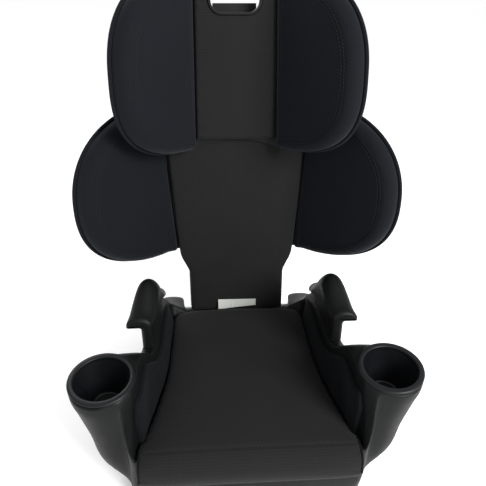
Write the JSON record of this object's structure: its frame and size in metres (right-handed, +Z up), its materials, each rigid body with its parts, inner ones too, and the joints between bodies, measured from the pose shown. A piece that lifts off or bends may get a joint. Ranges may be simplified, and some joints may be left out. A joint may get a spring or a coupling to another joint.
{
  "type": "child booster seat",
  "caption": "High-back child booster seat with a hinged back, a height-adjustable winged headrest, armrests with belt gaps and two cup holders.",
  "frame": {"origin": "centre of the base's underside, on the floor plane", "axes": "+Z up, -Y forward (the way the child faces), +X to the right as seen from the front"},
  "size_m": [0.4958, 0.467, 0.6556],
  "materials": {
    "shell_plastic": "black moulded polypropylene with a fine grain",
    "cup_plastic": "black satin moulded plastic",
    "lever_plastic": "dark grey moulded plastic",
    "grey_fabric": "dark grey knitted polyester over foam",
    "black_fabric": "near-black blue knitted polyester over foam",
    "foam": "white expanded foam",
    "steel": "zinc-plated steel",
    "label": "plain white woven tape, blank"
  },
  "bodies": {
    "base": {"base_shell": "shell_plastic", "base_rib_frame": "shell_plastic", "armrest_left": "shell_plastic", "armrest_right": "shell_plastic", "rod_block_left": "shell_plastic", "rod_block_right": "shell_plastic", "cup_insert_left": "cup_plastic", "cup_insert_right": "cup_plastic", "seat_cushion": "grey_fabric", "side_bolster_left": "black_fabric", "side_bolster_right": "black_fabric", "hinge_rod": "steel"},
    "back": {"back_shell": "shell_plastic", "back_spine": "shell_plastic", "torso_foam_left": "foam", "torso_foam_right": "foam", "torso_pad_left": "black_fabric", "torso_pad_right": "black_fabric", "torso_pad_center": "grey_fabric", "care_label": "label", "spine_screw_1": "steel", "spine_screw_2": "steel", "spine_screw_3": "steel", "spine_screw_4": "steel"},
    "headrest": {"head_shell": "shell_plastic", "head_carriage": "shell_plastic", "head_foam_left": "foam", "head_foam_right": "foam", "head_pad_left": "black_fabric", "head_pad_right": "black_fabric", "head_pad_center": "grey_fabric", "belt_guide_left": "lever_plastic", "belt_guide_right": "lever_plastic", "lever_pin": "steel", "lever_spring": "steel"},
    "lever": {"release_lever": "lever_plastic"}
  },
  "joints": [
    {"name": "back_recline", "type": "hinge", "parent": "base", "child": "back", "pos_m": [0, 0.2, 0.055], "axis": [-1, 0, 0], "range_deg": [0, 25]},
    {"name": "headrest_slide", "type": "slide", "parent": "back", "child": "headrest", "axis": [0, 0.0698, 0.9976], "range_m": [0, 0.08]},
    {"name": "release_lever", "type": "hinge", "parent": "headrest", "child": "lever", "pos_m": [0, 0.21608, 0.54307], "axis": [-1, 0, 0], "range_deg": [0, 10], "stiffness_Nm_per_rad": 0.8, "springref_deg": -8.59}
  ]
}
